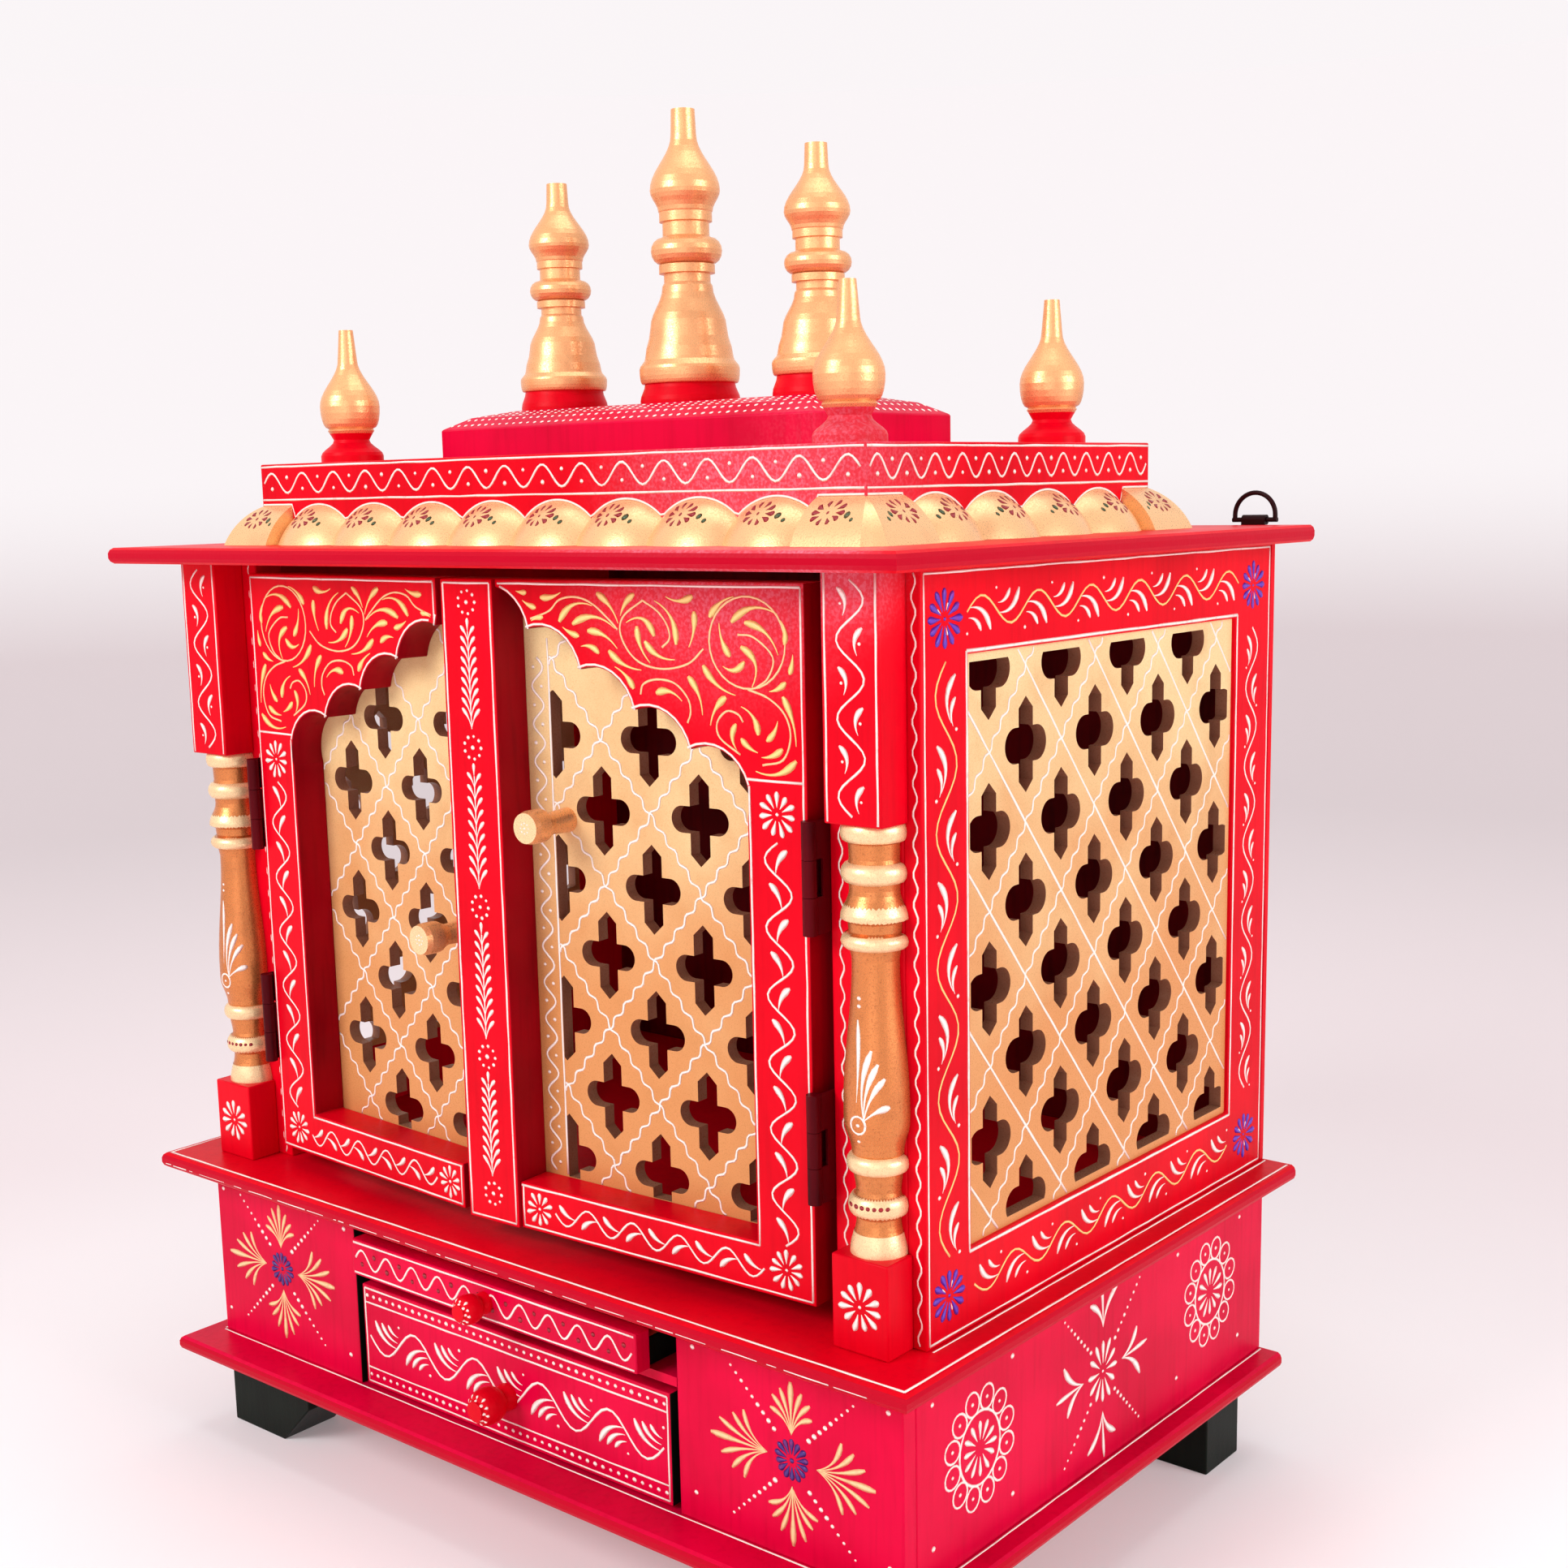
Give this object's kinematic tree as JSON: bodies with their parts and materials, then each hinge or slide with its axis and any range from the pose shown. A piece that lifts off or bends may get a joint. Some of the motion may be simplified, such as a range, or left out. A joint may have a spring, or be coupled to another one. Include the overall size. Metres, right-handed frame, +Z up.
{
  "type": "painted home temple cabinet",
  "caption": "Painted wooden home temple cabinet on feet, with lattice doors under a cusped arch, drawer, tray, turned columns, scalloped tiered roof and turned spires.",
  "frame": {"origin": "on the floor, under the middle of the bounding box", "axes": "+Z up; -Y to the front, where the doors are; +X to the right of someone who faces the doors"},
  "size_m": [0.559, 0.3894, 0.761],
  "materials": {
    "red_enamel": "gloss enamel paint",
    "crimson_enamel": "gloss enamel paint",
    "gold_paint": "matte metallic gold paint",
    "plain_wood": "bare wood",
    "foot_black": "satin dark paint",
    "iron": "dark painted iron"
  },
  "bodies": {
    "cabinet": {"feet": "foot_black", "base_plate": "crimson_enamel", "plinth_left": "crimson_enamel", "plinth_right": "crimson_enamel", "plinth_back": "plain_wood", "plinth_front_left": "crimson_enamel", "plinth_front_right": "crimson_enamel", "plinth_rail": "crimson_enamel", "tray_shelf": "crimson_enamel", "drawer_runners": "plain_wood", "mid_plate": "red_enamel", "side_frame_left": "red_enamel", "side_frame_right": "red_enamel", "side_lattice_left": "gold_paint", "side_lattice_right": "gold_paint", "stile_left": "red_enamel", "stile_right": "red_enamel", "back_panel": "red_enamel", "column_left": "gold_paint", "column_right": "gold_paint", "column_blocks": "red_enamel", "top_plate": "red_enamel", "cornice": "gold_paint", "tier_box": "crimson_enamel", "tier_slab": "crimson_enamel", "spire_left": "gold_paint", "spire_centre": "gold_paint", "spire_right": "gold_paint", "spire_discs": "red_enamel", "finials": "gold_paint", "finial_discs": "red_enamel", "hanger_straps": "iron", "hanger_rings": "iron", "hinge_leaves": "iron"},
    "left_door": {"left_door_frame": "red_enamel", "left_door_lattice": "gold_paint", "left_door_knob": "gold_paint", "left_door_leaves": "iron"},
    "right_door": {"right_door_frame": "red_enamel", "right_door_batten": "red_enamel", "right_door_lattice": "gold_paint", "right_door_knob": "gold_paint", "right_door_leaves": "iron"},
    "drawer": {"drawer_front": "crimson_enamel", "drawer_box": "plain_wood", "drawer_knob": "red_enamel"},
    "tray": {"tray_front": "crimson_enamel", "tray_box": "plain_wood", "tray_knob": "red_enamel"}
  },
  "joints": [
    {"name": "left_door_hinge", "type": "hinge", "parent": "cabinet", "child": "left_door", "pos_m": [-0.2035, -0.15575, 0.3245], "axis": [0, 0, -1], "range_deg": [-3, 107]},
    {"name": "right_door_hinge", "type": "hinge", "parent": "cabinet", "child": "right_door", "pos_m": [0.2035, -0.15575, 0.3245], "axis": [0, 0, 1], "range_deg": [-3, 107]},
    {"name": "drawer_slide", "type": "slide", "parent": "cabinet", "child": "drawer", "axis": [0, -1, 0], "range_m": [0, 0.18]},
    {"name": "tray_slide", "type": "slide", "parent": "cabinet", "child": "tray", "axis": [0, -1, 0], "range_m": [-0.013, 0.15]}
  ]
}
